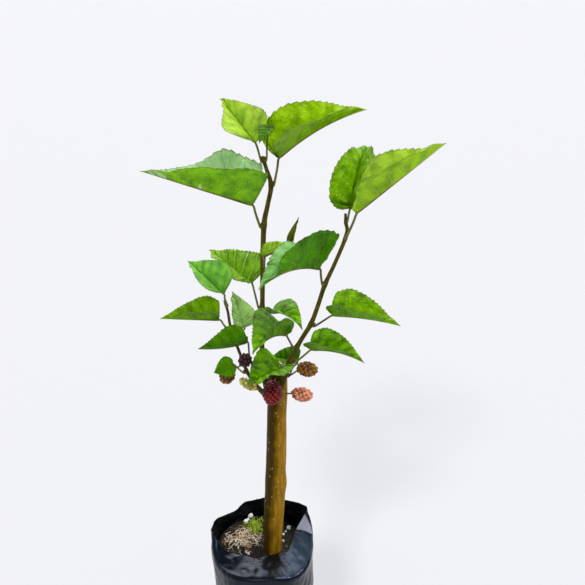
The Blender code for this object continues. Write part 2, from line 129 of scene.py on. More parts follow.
# Each leaf: its shoot and node height, the blade's base and tip, the folds of the left and
# right halves, its tone, and extras: width, taper, pinch and dome of the halves, arch, lobe,
# roll, quilt as a multiple of QUILT, and ruffle in place of RUFFLE.
LEAVES = {
    "leaf_tall_left": ("tall", 455, (-5, 0, 476), (-90, -22, 511), (62, 66), "painted_sheen",
        dict(width=(0.97, 1.0), taper=(0.32, 0.45), dome=(0, 0.34), lobe=0.2, ruffle=0.03)),
    "leaf_tall_rear": ("tall", 510, (-2, 10, 525), (-32, 62, 548), (18, 58), "bright",
        dict(width=(1.05, 0.9), taper=(0.4, 0), lobe=0.4, ruffle=0.05)),
    "leaf_tall_right": ("tall", 490, (18, 14, 511), (88, 40, 544), (64, 44), "young",
        dict(width=(1.12, 1.0), pinch=(0.25, 0), taper=(0.1, 0), arch=0.06, lobe=0.3, quilt=2.4)),
    "leaf_tall_pale": ("tall", 420, (5, -8, 436), (27, -12, 447), (32, 32), "young",
        dict(width=(1.3, 1.3), lobe=0.5)),
    "leaf_tall_round": ("tall", 373, (11, 8, 378), (36, -22, 376), (30, 30), "shade",
        dict(width=(1.1, 0.7), arch=0.15, lobe=0.5)),
    "leaf_tall_veined": ("tall", 379, (-7, 20, 401), (-45, 62, 415), (25, 52), "veined",
        dict(lobe=0.5, quilt=1.5)),
    "leaf_tall_bud": ("tall", 429, (27, 6, 442), (33, 12, 462), (34, 34), "olive",
        dict(width=(0.55, 0.55), lobe=0.2)),
    # leaf_tall_young is drawn small, dark and turned down to stand for the shade by the base of
    # leaf_tall_rear: painted shade.
    "leaf_tall_young": ("tall", 511, (9, 2, 539), (2, -12, 530), (20, 20), "dark", dict(lobe=0.5)),
    "leaf_right_long": ("right", 452, (79, -24, 478), (143, -42, 539), (54, 41), "bright",
        dict(pinch=(0.8, 0.95), lobe=0.2, ruffle=0.03)),
    "leaf_right_cupped": ("right", 464, (75, 6, 474), (92, 66, 506), (45, 44), "fresh",
        dict(width=(0.86, 1.0), arch=0.14, lobe=0.6, quilt=2.4, ruffle=0.03)),
    "leaf_right_arched": ("right", 414, (49, -24, 430), (2, -76, 434), (78, 34), "glossy",
        dict(width=(1.35, 1.05), taper=(0.7, 0), arch=0.1, lobe=0.2, ruffle=0.04)),
    "leaf_right_outer": ("right", 380, (61, -22, 389), (114, -40, 388), (50, 42), "fresh",
        dict(width=(1.07, 1.07), arch=0.03, lobe=0.3)),
    "leaf_right_lower": ("right", 344, (44, -22, 358), (86, -40, 355), (50, 40), "shade",
        dict(width=(1.07, 1.07), arch=0.08, lobe=0.3)),
    "leaf_right_front": ("right", 358, (22, -30, 375), (-3, -78, 381), (70, 40), "shade",
        dict(width=(0.7, 1.3), arch=0.1)),
    "leaf_foot_front": ("right", 336, (18.6, -19, 341), (-9, -51, 341), (15, 32), "shade",
        dict(width=(1.0, 1.3), lobe=0.3, quilt=1.8, ruffle=0.06)),
    "leaf_foot_rear": ("trunk", 322, (31, 3, 335), (9, 12, 335), (5, 60), "deep",
        dict(width=(1.1, 1.3), taper=(-0.2, -0.2), arch=0.05, lobe=0.3)),
    "leaf_left_top": ("left", 389, (-29, -2, 400), (-61, 34, 415), (26, 68), "emerald",
        dict(width=(1.0, 1.2), pinch=(0, 0.2), lobe=0.3)),
    "leaf_left_outer": ("left", 367, (-33, -10, 380), (-81, -12, 382), (45, 52), "fresh",
        dict(width=(1.15, 1.15), pinch=(0.2, 0.2), lobe=0.1)),
    "leaf_left_lower": ("left", 323, (-10, -22, 365), (-49, -34, 365), (45, 52), "deep",
        dict(width=(1.2, 1.2), pinch=(0.2, 0.2), arch=-0.05, lobe=0.3)),
    "leaf_left_veined": ("left", 360, (-13, 11, 364), (-24, 33, 388), (30, 50), "pale",
        dict(width=(0.9, 1.1), lobe=0.3, quilt=1.5)),
    "leaf_left_small": ("left", 334, (-22.5, -16, 342), (-37.5, -20, 336.5), (10, 10), "deep",
        dict(width=(1.25, 1.25), taper=(-0.5, -0.5), roll=-55)),
}

# Tones of the leaves, as painted light and shade: the upper face lit and shaded, its veins, and the rim; then
# underneath, lit and shaded.
TONES = {
    "bright": ("#CCF040", "#76B014", "#DCF880", "#7C6A14", "#B8E41C", "#6CA806"),
    "young": ("#B4E40A", "#4E8C01", "#C0E014", "#7C6A14", "#A8DA06", "#5E9802"),
    "fresh": ("#90CC08", "#2C7201", "#A0CC10", "#6A5A12", "#86C806", "#3A8001"),
    # This tone's upper face is pale: a painted sheen on the far half of leaf_tall_left.
    "painted_sheen": ("#DCFCD0", "#A0DC90", "#B4D47C", "#6A6A20", "#9CDC10", "#4A9402"),
    "glossy": ("#9CDC84", "#348C34", "#96C840", "#4E5E18", "#58A60A", "#206202"),
    "shade": ("#84CC08", "#1A5A01", "#80B40C", "#4E5E18", "#7CBC0C", "#286C02"),
    "deep": ("#60AE08", "#144E01", "#70AC10", "#4E5E18", "#58A40A", "#1E5C02"),
    "emerald": ("#A0F04C", "#34A020", "#A8D890", "#4E7A3C", "#4EA430", "#1E661C"),
    "pale": ("#BCE874", "#58A830", "#ECFCD0", "#88A458", "#92CC6A", "#4A8E34"),
    "veined": ("#90CC14", "#246E02", "#C0E468", "#6A5A12", "#86C806", "#3A8001"),
    # The dark tone is painted shade, for leaf_tall_young.
    "dark": ("#4C900C", "#143C02", "#82B440", "#4E5E18", "#4C900C", "#143C02"),
    "olive": ("#76861C", "#42520E", "#96963C", "#5A401C", "#68741A", "#404A0E"),
}
BOLD_VEINS = ("pale", "veined")

# Each fruit: its shoot and node height, middle, length, width, the way its tip points, and
# the colours of its ripest and least ripe drupelets.
FRUITS = {
    "fruit_purple": ("left", 345, (-11, -26, 351), 12.5, 11, (-0.2, -1, -0.3), "#12040A", "#3A0A14"),
    "fruit_brown": ("left", 340, (-27, -8, 328), 15, 12.5, (-0.5, 0, -1), "#2E1A06", "#8A6014"),
    "fruit_green": ("left", 317, (-9, -20, 326), 17, 8.5, (-1, 0, 0.6), "#7C7416", "#D2CC70"),
    "fruit_red": ("trunk", 324, (11, -18, 317), 21, 16.0, (-0.1, -0.2, -1), "#1C0204", "#8A0E0C"),
    "fruit_olive": ("right", 331, (40, -18, 339), 17.5, 12.5, (1, -0.1, -0.1), "#2A1604", "#94621A"),
    "fruit_orange": ("trunk", 307, (36, -2, 307), 18.5, 12.0, (1, -0.1, -0.1), "#6A280C", "#EAA27A"),
}
DRUPELET = 1.75
DRUPELETS_PER_AREA = 0.235
# Each drupelet is this far round from the last, in radians.
GOLDEN_ANGLE = 2.399963

# Settings that many shader nodes share.
EASED = {"interpolation_type": "SMOOTHSTEP"}
SCALED_SUM = {"operation": "MULTIPLY_ADD"}
COLOURS = {"data_type": "RGBA"}

# The camera: its place, its tilt from straight down in degrees, and its lens in millimetres.
CAMERA_AT = (0.0278, -0.9, 0.775)
CAMERA_TILT = 67.4
CAMERA_LENS = 72.8


def linear(code):
    """An sRGB hex colour as the linear colour that a shader takes."""
    parts = [int(code[place:place + 2], 16) / 255 for place in (1, 3, 5)]
    return [part / 12.92 if part <= 0.04045 else ((part + 0.055) / 1.055) ** 2.4 for part in parts] + [1]


def add(tree, kind, settings=None, sockets=None):
    """A node with its settings, each socket set to a value or linked to another node's output."""
    made = tree.nodes.new("ShaderNode" + kind)
    for name, value in (settings or {}).items():
        if name == "stops":
            while len(made.color_ramp.elements) < len(value):
                made.color_ramp.elements.new(1)
            for stop, (place, code) in zip(made.color_ramp.elements, value):
                stop.position = place
                stop.color = linear(code)
        else:
            setattr(made, name, value)
    for socket, value in (sockets or {}).items():
        if isinstance(value, bpy.types.NodeSocket):
            tree.links.new(value, made.inputs[socket])
        else:
            made.inputs[socket].default_value = value
    return made.outputs


def surface(name, values):
    """A new material with its shader's even values set: its parts, and the place on the object."""
    finish = bpy.data.materials.new(name)
    finish.use_nodes = True
    tree = finish.node_tree
    shader = tree.nodes["Principled BSDF"]
    for socket, value in values.items():
        shader.inputs[socket].default_value = value
    return finish, tree, shader, add(tree, "TexCoord")["Object"]


def leaf_face(name, lit, shaded, vein, rim, raised, gloss, bold):
    """Living leaf: a waxy skin over pulpy tissue, so it shines in spots and glows against the light.

    A net of veins is sunk in its upper face and raised underneath; its colour runs from a painted shaded tone
    in the valleys to a painted lit tone between them.
    """
    finish, tree, shader, place = surface(name, {
        "IOR": 1.42, "Specular IOR Level": gloss, "Specular Tint": linear("#E4EC48")})
    map_of = add(tree, "SeparateXYZ", {}, {0: add(tree, "Attribute", {"attribute_name": "veins"})["Vector"]})
    edge = add(tree, "Attribute", {"attribute_name": "edge"})["Fac"]
    # The side veins waver every 11 mm.
    bend = add(tree, "TexNoise", {}, {"Vector": place, "Scale": 90})["Fac"]
    along = add(tree, "Math", SCALED_SUM, {0: bend, 1: 0.5, 2: map_of["X"]})["Value"]
    along = add(tree, "Math", {"operation": "SUBTRACT"}, {0: along, 1: 0.25})["Value"]
    step = add(tree, "Math", {"operation": "PINGPONG"}, {0: along, 1: 0.5})["Value"]
    from_side = add(tree, "Math", {"operation": "MULTIPLY"}, {0: step, 1: map_of["Z"]})["Value"]
    # Side veins are 0.5 mm wide, bold ones 1 mm, and the midrib 1.2 mm.
    side = add(tree, "MapRange", EASED,
               {"Value": from_side, "From Min": 0.1, "From Max": 1.1 if bold else 0.55,
                "To Min": 0.95 if bold else 0.5, "To Max": 0})["Result"]
    middle = add(tree, "MapRange", EASED,
                 {"Value": map_of["Y"], "From Min": 0.3, "From Max": 0.9,
                  "To Min": 0.8, "To Max": 0})["Result"]
    wander = add(tree, "TexNoise", {}, {"Vector": place, "Scale": 420})["Fac"]
    rung_at = add(tree, "Math", SCALED_SUM, {0: wander, 1: 2.2, 2: map_of["Y"]})["Value"]
    # Cross veins run like rungs every 2.4 mm between the side veins.
    rung = add(tree, "Math", {"operation": "PINGPONG"}, {0: rung_at, 1: 1.2})["Value"]
    rungs = add(tree, "MapRange", EASED,
                {"Value": rung, "From Min": 0.05, "From Max": 0.35, "To Min": 0.22, "To Max": 0})["Result"]
    # The finest net has cells 0.9 mm across.
    cells = add(tree, "TexVoronoi", {"feature": "DISTANCE_TO_EDGE"},
                {"Vector": place, "Scale": 1100})["Distance"]
    net = add(tree, "MapRange", {}, {"Value": cells, "From Max": 0.22,
                                     "To Min": 0.16, "To Max": 0})["Result"]
    lines = add(tree, "Math", {"operation": "MAXIMUM"}, {0: side, 1: middle})["Value"]
    fine = add(tree, "Math", {"operation": "MAXIMUM"}, {0: rungs, 1: net})["Value"]
    all_lines = add(tree, "Math", {"operation": "MAXIMUM"}, {0: lines, 1: fine})["Value"]
    # Lighter and darker patches are 12 mm across.
    patches = add(tree, "TexNoise", {}, {"Vector": place, "Scale": 85, "Detail": 5, "Roughness": 0.62})["Fac"]
    # Painted shade and light: darker in the valleys along the side veins, lighter on the cushions between;
    # the patches add the leaf's own tone, and it grows lighter towards the tip.
    valley_shade_and_tone = add(tree, "Math", SCALED_SUM, {0: step, 1: 0.3, 2: patches})["Value"]
    valley_shade_and_tone = add(tree, "Math", SCALED_SUM, {0: map_of["X"], 1: 0.016, 2: valley_shade_and_tone})["Value"]
    tissue = add(tree, "ValToRGB", {"stops": [(0.4, shaded), (0.74, lit)]}, {"Fac": valley_shade_and_tone})["Color"]
    veined = add(tree, "Mix", COLOURS, {0: all_lines, 6: tissue, 7: linear(vein)})[2]
    near_edge = add(tree, "MapRange", EASED,
                    {"Value": edge, "From Min": 0.95, "To Max": 0.5})["Result"]
    colour = add(tree, "Mix", COLOURS, {0: near_edge, 6: veined, 7: linear(rim)})[2]
    tree.links.new(colour, shader.inputs["Base Color"])
    shine = add(tree, "MapRange", {}, {"Value": patches, "From Min": 0.3, "From Max": 0.7,
                                       "To Min": 0.15, "To Max": 0.28})["Result"]
    tree.links.new(shine, shader.inputs["Roughness"])
    # Blisters between the veins are 5 mm across.
    blister = add(tree, "TexNoise", {}, {"Vector": place, "Scale": 200, "Detail": 3})["Fac"]
    bumps = add(tree, "Math", SCALED_SUM, {0: blister, 1: 3, 2: step})["Value"]
    height = add(tree, "Math", SCALED_SUM, {0: all_lines, 1: raised, 2: bumps})["Value"]
    relief = add(tree, "Bump", {}, {"Height": height, "Strength": 0.9, "Distance": 0.0011})["Normal"]
    tree.links.new(relief, shader.inputs["Normal"])
    glow = add(tree, "BsdfTranslucent", {}, {"Color": colour})["BSDF"]
    blade = add(tree, "MixShader", {}, {0: 0.34, 1: shader.outputs["BSDF"], 2: glow})["Shader"]
    tree.links.new(blade, tree.nodes["Material Output"].inputs["Surface"])
    return finish


def bark(name, dark, light, pore, left_shade_and_stain, streak, pore_gap, left_shade_to):
    """Smooth young bark: matt, with fine upright streaks, pale breathing pores, and on its left a dark stain
    with painted shade.
    """
    finish, tree, shader, place = surface(name, {
        "Roughness": 0.55, "Specular IOR Level": 0.14, "Specular Tint": linear("#FFDC96")})
    thin = 1 / streak
    grain_place = add(tree, "Mapping", {}, {"Vector": place, "Scale": (thin, thin, 0.12 * thin)})["Vector"]
    grain = add(tree, "TexNoise", {}, {"Vector": grain_place, "Scale": 1, "Detail": 5,
                                       "Roughness": 0.62})["Fac"]
    wood = add(tree, "ValToRGB", {"stops": [(0.32, dark), (0.68, light)]}, {"Fac": grain})["Color"]
    blotch = add(tree, "TexNoise", {}, {"Vector": place, "Scale": 75, "Detail": 4})["Fac"]
    sides = add(tree, "SeparateXYZ", {}, {0: place})
    # Painted shade with a dark stain covers the left, the side away from the light, and its edge leans with
    # the cutting.
    across = add(tree, "Math", SCALED_SUM,
                 {0: sides["Z"], 1: -0.043, 2: sides["X"]})["Value"]
    across = add(tree, "Math", SCALED_SUM, {0: blotch, 1: -0.008, 2: across})["Value"]
    # bloom masks the painted shade and stain on the left side.
    bloom = add(tree, "MapRange", EASED,
                {"Value": across, "From Min": left_shade_to - 0.006, "From Max": left_shade_to + 0.002,
                 "To Min": 0.95, "To Max": 0})["Result"]
    shaded_and_stained = add(tree, "Mix", COLOURS, {0: bloom, 6: wood, 7: linear(left_shade_and_stain)})[2]
    wide = 1 / pore_gap
    pore_place = add(tree, "Mapping", {}, {"Vector": place, "Scale": (wide, wide, 0.8 * wide)})["Vector"]
    spot = add(tree, "TexVoronoi", {}, {"Vector": pore_place, "Scale": 1})["Distance"]
    pores = add(tree, "MapRange", EASED,
                {"Value": spot, "From Min": 0.07, "From Max": 0.15, "To Min": 0.7, "To Max": 0})["Result"]
    colour = add(tree, "Mix", COLOURS, {0: pores, 6: shaded_and_stained, 7: linear(pore)})[2]
    tree.links.new(colour, shader.inputs["Base Color"])
    height = add(tree, "Math", SCALED_SUM, {0: pores, 1: 0.7, 2: grain})["Value"]
    relief = add(tree, "Bump", {}, {"Height": height, "Strength": 0.6, "Distance": 0.0005})["Normal"]
    tree.links.new(relief, shader.inputs["Normal"])
    return finish


def leaf_stalk():
    """Leaf stalks: smooth and fleshy, so a little glossy, olive with a brown flush."""
    finish, tree, shader, place = surface("fleshy_leaf_stalk", {"Roughness": 0.42})
    flush = add(tree, "TexNoise", {}, {"Vector": place, "Scale": 90, "Detail": 3})["Fac"]
    colour = add(tree, "ValToRGB", {"stops": [(0.35, "#4A3C12"), (0.64, "#6E6E22")]}, {"Fac": flush})["Color"]
    tree.links.new(colour, shader.inputs["Base Color"])
    return finish


def fruit_skin(name, ripe, unripe):
    """Mulberry flesh: juicy drupelets under a thin wet skin, each ripened by its own amount."""
    finish, tree, shader, place = surface(name, {
        "Roughness": 0.24, "IOR": 1.38, "Subsurface Weight": 0.25,
        "Subsurface Radius": (0.0015, 0.0006, 0.0004), "Subsurface Scale": 0.6})
    ripeness = add(tree, "Attribute", {"attribute_name": "tone"})["Fac"]
    mottle = add(tree, "TexNoise", {}, {"Vector": place, "Scale": 500})["Fac"]
    blend = add(tree, "Math", SCALED_SUM, {0: mottle, 1: 0.35, 2: ripeness})["Value"]
    colour = add(tree, "ValToRGB", {"stops": [(0.2, ripe), (1.0, unripe)]}, {"Fac": blend})["Color"]
    tree.links.new(colour, shader.inputs["Base Color"])
    relief = add(tree, "Bump", {}, {"Height": mottle, "Strength": 0.25, "Distance": 0.0003})["Normal"]
    tree.links.new(relief, shader.inputs["Normal"])
    return finish


def plain(name, dark, light, grain, roughness, depth):
    """A rough natural stuff of two tones, with grains of a real size."""
    finish, tree, shader, place = surface(name, {"Roughness": roughness})
    fleck = add(tree, "TexNoise", {}, {"Vector": place, "Scale": 1 / grain, "Detail": 6,
                                       "Roughness": 0.7})["Fac"]
    colour = add(tree, "ValToRGB", {"stops": [(0.35, dark), (0.68, light)]}, {"Fac": fleck})["Color"]
    tree.links.new(colour, shader.inputs["Base Color"])
    relief = add(tree, "Bump", {}, {"Height": fleck, "Strength": 0.8, "Distance": depth})["Normal"]
    tree.links.new(relief, shader.inputs["Normal"])
    return finish


def polythene():
    """Black low density polythene film: glossy where it is taut, crinkled, with a bloom of dust, and painted
    sheen and shade where it turns in at the right.
    """
    finish, tree, shader, place = surface("black_polythene_film", {
        "IOR": 1.51, "Specular IOR Level": 0.32, "Specular Tint": linear("#B4CCFF")})
    # Crinkles are 9 mm across and 14 mm tall, and the patches of dust 18 mm across.
    crinkle_place = add(tree, "Mapping", {}, {"Vector": place, "Scale": (110, 110, 70)})["Vector"]
    crinkle = add(tree, "TexNoise", {"noise_type": "RIDGED_MULTIFRACTAL", "normalize": True},
                  {"Vector": crinkle_place, "Scale": 1, "Detail": 5, "Roughness": 0.45})["Fac"]
    dust = add(tree, "TexNoise", {}, {"Vector": place, "Scale": 55, "Detail": 7, "Roughness": 0.72})["Fac"]
    # Fine scuffs are 0.4 mm apart.
    scuff = add(tree, "TexNoise", {}, {"Vector": place, "Scale": 2400})["Fac"]
    dusty = add(tree, "MapRange", EASED,
                {"Value": dust, "From Min": 0.52, "From Max": 0.74, "To Max": 0.5})["Result"]
    colour = add(tree, "Mix", COLOURS,
                 {0: dusty, 6: linear("#030405"), 7: linear("#3A382E")})[2]
    # The film turned in over the soil at the right: within the rim, and on this side of the rear wall.
    sides = add(tree, "SeparateXYZ", {}, {0: place})
    flat_way = add(tree, "Mapping", {}, {"Vector": place, "Scale": (1, 1, 0)})["Vector"]
    out = add(tree, "VectorMath", {"operation": "LENGTH"}, {0: flat_way})["Value"]
    turned_in = add(tree, "MapRange", {}, {"Value": out, "From Min": 0.0468, "From Max": 0.0455})["Result"]
    for value, start, end in ((sides["Y"], 0.034, 0.031), (sides["Z"], 0.145, 0.148)):
        bound = add(tree, "MapRange", {}, {"Value": value, "From Min": start, "From Max": end})["Result"]
        turned_in = add(tree, "Math", {"operation": "MULTIPLY"}, {0: turned_in, 1: bound})["Value"]
    # It lies flat with a painted blue-grey sheen; past a painted dark crease of shade, its corner carries the
    # palest painted sheen.
    slant = add(tree, "Math", SCALED_SUM, {0: sides["X"], 1: 0.97, 2: sides["Y"]})["Value"]
    painted_light_masks = []
    for value, start, end, painted_light_tone in ((sides["X"], 0.019, 0.026, "#263340"),
                                       (slant, 0.0468, 0.0474, "#05060A"),
                                       (slant, 0.0486, 0.0494, "#8C8E9C")):
        reach = add(tree, "MapRange", {}, {"Value": value, "From Min": start, "From Max": end})["Result"]
        reach = add(tree, "Math", {"operation": "MULTIPLY"}, {0: reach, 1: turned_in})["Value"]
        colour = add(tree, "Mix", COLOURS, {0: reach, 6: colour, 7: linear(painted_light_tone)})[2]
        painted_light_masks.append(reach)
    tree.links.new(colour, shader.inputs["Base Color"])
    gloss = add(tree, "MapRange", {}, {"Value": dusty, "From Max": 0.5,
                                       "To Min": 0.27, "To Max": 0.6})["Result"]
    tree.links.new(gloss, shader.inputs["Roughness"])
    smoother = add(tree, "MapRange", {}, {"Value": painted_light_masks[0], "To Min": 1, "To Max": 0.25})["Result"]
    crinkle = add(tree, "Math", {"operation": "MULTIPLY"}, {0: crinkle, 1: smoother})["Value"]
    height = add(tree, "Math", SCALED_SUM, {0: scuff, 1: 0.05, 2: crinkle})["Value"]
    relief = add(tree, "Bump", {}, {"Height": height, "Strength": 0.8, "Distance": 0.002})["Normal"]
    tree.links.new(relief, shader.inputs["Normal"])
    return finish


def only(piece):
    """Only this piece selected, and active."""
    bpy.ops.object.select_all(action="DESELECT")
    piece.select_set(True)
    bpy.context.view_layer.objects.active = piece


def flat_grid(name, columns, rows):
    """A flat square grid, 2 mm wide."""
    bpy.ops.object.select_all(action="DESELECT")
    bpy.ops.mesh.primitive_grid_add(x_subdivisions=columns, y_subdivisions=rows, size=2)
    sheet = bpy.context.object
    sheet.name = name
    return sheet


def weld(piece, closed=True):
    """Doubled corners merged, and the faces turned outwards."""
    only(piece)
    bpy.ops.object.mode_set(mode="EDIT")
    bpy.ops.mesh.select_all(action="SELECT")
    bpy.ops.mesh.remove_doubles(threshold=0.004)
    if closed:
        bpy.ops.mesh.normals_make_consistent(inside=False)
    bpy.ops.object.mode_set(mode="OBJECT")


def rolled(name, column_at, turns):
    """A grid rolled up into a round skin: column_at gives the points up it at an angle."""
    columns = [column_at(2 * pi * turn / turns - pi) for turn in range(turns)]
    columns.append(columns[0])
    rows = len(columns[0]) - 1
    skin = flat_grid(name, turns, rows)
    for corner in skin.data.vertices:
        column = columns[round((corner.co.x + 1) / 2 * turns)]
        corner.co = column[round((corner.co.y + 1) / 2 * rows)]
    weld(skin)
    return skin


def smooth_line(rows, steps):
    """Points on the smooth curve through rows of numbers, with steps to each span."""
    points = []
    for index in range(len(rows) - 1):
        points += [blend_at(rows, index, step / steps) for step in range(steps)]
    points.append(tuple(rows[-1]))
    return points


def blend_rows(before, start, end, after, t):
    """A smooth curve between two of four rows of numbers."""
    return tuple(0.5 * (2 * b + (c - a) * t + (2 * a - 5 * b + 4 * c - d) * t * t
                        + (3 * b - a - 3 * c + d) * t ** 3)
                 for a, b, c, d in zip(before, start, end, after))


def blend_at(rows, index, t):
    """The smooth curve through all the rows, on the span that starts at a row."""
    near = [rows[min(max(index + shift, 0), len(rows) - 1)] for shift in (-1, 0, 1, 2)]
    return blend_rows(*near, t)


def around(angle, radius, height):
    """A point at an angle round the upright through the origin."""
    return Vector((radius * cos(angle), radius * sin(angle), height))


def rod(name, rows, finish, steps, roundness):
    """A round rod down the smooth curve through (x, y, z, radius) rows, with closed ends."""
    points = smooth_line(rows, steps)
    line = bpy.data.curves.new(name, "CURVE")
    line.dimensions = "3D"
    line.bevel_depth = 1
    line.bevel_resolution = roundness
    line.use_fill_caps = True
    run = line.splines.new("POLY")
    run.points.add(len(points) - 1)
    for point, (x, y, z, radius) in zip(run.points, points):
        point.co = (x, y, z, 1)
        point.radius = max(radius, 0.02)
    piece = bpy.data.objects.new(name, line)
    bpy.context.collection.objects.link(piece)
    only(piece)
    bpy.ops.object.convert(target="MESH")
    weld(piece)
    piece.data.materials.append(finish)
    return piece


def join(pieces, name):
    """Pieces joined into the first, under a new name."""
    bpy.ops.object.select_all(action="DESELECT")
    for piece in pieces:
        piece.select_set(True)
    bpy.context.view_layer.objects.active = pieces[0]
    bpy.ops.object.join()
    pieces[0].name = name
    return pieces[0]


def scatter(name, model, places, tones=None):
    """Copies of one modelled piece, each with its own mesh in its own place, joined as one."""
    copies = []
    for index, place in enumerate(places):
        mesh = model.data.copy()
        mesh.transform(place)
        if tones:
            tone = mesh.attributes.new("tone", "FLOAT", "POINT")
            tone.data.foreach_set("value", [tones[index]] * len(mesh.vertices))
        copy = bpy.data.objects.new(name, mesh)
        bpy.context.collection.objects.link(copy)
        copies.append(copy)
    bpy.data.objects.remove(model)
    return join(copies, name)


def settle(piece, replaced=None, smooth=50):
    """A finished piece brought to metres, smoothed, and tied to the frame."""
    piece.data.transform(Matrix.Scale(MM, 4))
    only(piece)
    bpy.ops.object.shade_smooth_by_angle(angle=radians(smooth))
    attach(piece, "root")
    if replaced:
        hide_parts(replaced)


def around_mouth(angle):
    """The mouth's crease radius and height, and its edge, at any angle round it."""
    last = len(MOUTH) - 1
    for index in range(last):
        low, high = MOUTH[index][0], MOUTH[index + 1][0]
        if low <= angle <= high:
            share = (angle - low) / (high - low)
            near = (MOUTH[(index - 1) % last], MOUTH[index], MOUTH[index + 1],
                    MOUTH[(index + 2) % last or last])
            flat = [(row[1], row[2], *row[3]) for row in near]
            soft = blend_rows(*flat, share)
            straight = [a + (b - a) * share for a, b in zip(flat[1], flat[2])]
            numbers = [(a + b) / 2 for a, b in zip(soft, straight)]
            return numbers[0], numbers[1], Vector(numbers[2:])
    raise ValueError(angle)


def wall_point(angle, radius, height):
    """A point of the bag's wall, which leans a little and is softly dented."""
    crinkle = 0.7 * sin(3 * angle + height / 19) + 0.5 * sin(7 * angle - height / 31)
    lean = BAG_LEAN * min(height / 120, 1)
    fade = min(height / 40, 1) * (1 - min(max(height - 110, 0) / 30, 1))
    return Vector(((radius + crinkle * fade) * cos(angle) + lean * fade,
                   (radius + crinkle * fade) * sin(angle), height))


def crinkled(point, angle, strength):
    """A point of the film pushed in or out where the film is crumpled."""
    fold = noise.ridged_multi_fractal(around(angle, 2.6, point.z / 26), 0.9, 2.1, 4, 0.9, 2.0) - 1.1
    dent = noise.noise(around(angle, 1.1, point.z / 40))
    out = around(angle, 1, 0.25)
    return point + out * (fold * 0.55 + dent * 0.8) * strength


def bag_column(angle):
    """The film from the middle of the base up to its edge, at one angle round it."""
    crease_radius, crease_height, edge = around_mouth(degrees(angle))
    crease = around(angle, crease_radius, crease_height)
    base = around(angle, BAG_BASE_RADIUS, 0)
    keys = [base] + [wall_point(angle, radius, height) for radius, height in BAG_RINGS]
    keys += [crease - Vector((0, 0, FOLD_START)), crease, crease.lerp(edge, 0.5) + Vector((0, 0, 0.8)), edge]
    steps = (2, 3, 12, 12, 10, 8, 5, 5, 5)
    column = [Vector((0, 0, 0)), base * 0.5]
    for index, count in enumerate(steps):
        for step in range(count):
            column.append(Vector(blend_at(keys, index, step / count)))
    column.append(edge)
    made = []
    for index, point in enumerate(column):
        folded = index > len(column) - 10
        strength = min(max(point.z - 3, 0) / 25, 1) * (1 if point.z < 120 else 0.8)
        point = crinkled(point, angle, strength * (0.3 if folded else 1))
        if folded:
            point.z += 1.6 * noise.ridged_multi_fractal(point / 17, 0.9, 2.1, 3, 0.9, 2.0) - 1.8
        point.z = max(point.z, 0)
        made.append(point)
    return made


def build_bag():
    """The bag's film, from its base to its crumpled mouth."""
    bag = rolled("nursery_bag_film", bag_column, BAG_TURNS)
    bag.data.materials.append(polythene())
    film = bag.modifiers.new("film", "SOLIDIFY")
    film.thickness = FILM
    film.offset = -1
    bpy.ops.object.modifier_apply(modifier=film.name)
    settle(bag, "nursery_bag", 40)


def soil_height(x, y):
    """The height of the soil's lumpy top at a place."""
    (mound_x, mound_y), spread, rise = MOUND
    distance = ((x - mound_x) / spread) ** 2 + ((y - mound_y) / (spread * 1.2)) ** 2
    lumps = 1.3 * noise.noise(Vector((x / 7, y / 7, 0.4)))
    crumbs = 0.7 * noise.noise(Vector((x / 2, y / 2, 3))) + 0.35 * noise.noise(Vector((x, y, 7)))
    slope = SOIL_SLOPE * y + SOIL_PILE * max(0, y - PILE_FROM) ** 2
    return SOIL_LEVEL + lumps + crumbs + slope + rise * exp(-distance)


def soil_column(angle):
    """The soil from the middle of its base, up its side, and in over its crumbly top."""
    column = [Vector((0, 0, 1.4)), around(angle, BAG_BASE_RADIUS - 1.5, 1.4)]
    column += [wall_point(angle, radius - 2.2, height + 1.4) for radius, height in BAG_RINGS]
    for ring in range(SOIL_RINGS):
        share = 1 - ring / SOIL_RINGS
        x, y = SOIL_RIM * share * cos(angle), SOIL_RIM * share * sin(angle)
        column.append(Vector((x, y, soil_height(x, y) - 2 * max(0, share - 0.9) * 10)))
    column.append(Vector((0, 0, soil_height(0, 0))))
    return column


def on_soil(x, y, lift):
    """A point that far above the soil's top."""
    return Vector((x, y, soil_height(x, y) + lift))


def clear_of_stem(x, y):
    """Whether a place on the soil is outside the stem."""
    return (x - TRUNK[2][0]) ** 2 + (y - TRUNK[2][1]) ** 2 > STEM_CLEAR


def soil_spots(random, count, reach):
    """Places spread over the soil's top, clear of the stem."""
    spots = []
    while len(spots) < count:
        angle, share = random.uniform(0, 2 * pi), sqrt(random.random())
        x, y = reach * share * cos(angle), reach * share * sin(angle)
        if clear_of_stem(x, y):
            spots.append((x, y))
    return spots


def any_turn(random):
    """A turn about any axis."""
    axis = Vector((random.uniform(-1, 1), random.uniform(-1, 1), random.uniform(-1, 1)))
    return Matrix.Rotation(random.uniform(0, 2 * pi), 4, axis)


def turned(random, lean, spread):
    """Turned to any side, and tipped over by about the angle lean."""
    side = Matrix.Rotation(random.uniform(0, 2 * pi), 4, "Z")
    return side @ Matrix.Rotation(random.gauss(lean, spread), 4, "Y")


def placed(spot, turn, size):
    """A turned and sized piece brought to a spot."""
    return Matrix.Translation(spot) @ turn @ Matrix.Scale(size, 4)


def lump(name, finish, subdivisions, roughness):
    """One rough lump about 1 mm in radius, to be copied."""
    bpy.ops.object.select_all(action="DESELECT")
    bpy.ops.mesh.primitive_ico_sphere_add(subdivisions=subdivisions, radius=1)
    piece = bpy.context.object
    piece.name = name
    for corner in piece.data.vertices:
        corner.co *= 1 + roughness * noise.noise(corner.co * 1.7)
    piece.data.materials.append(finish)
    return piece


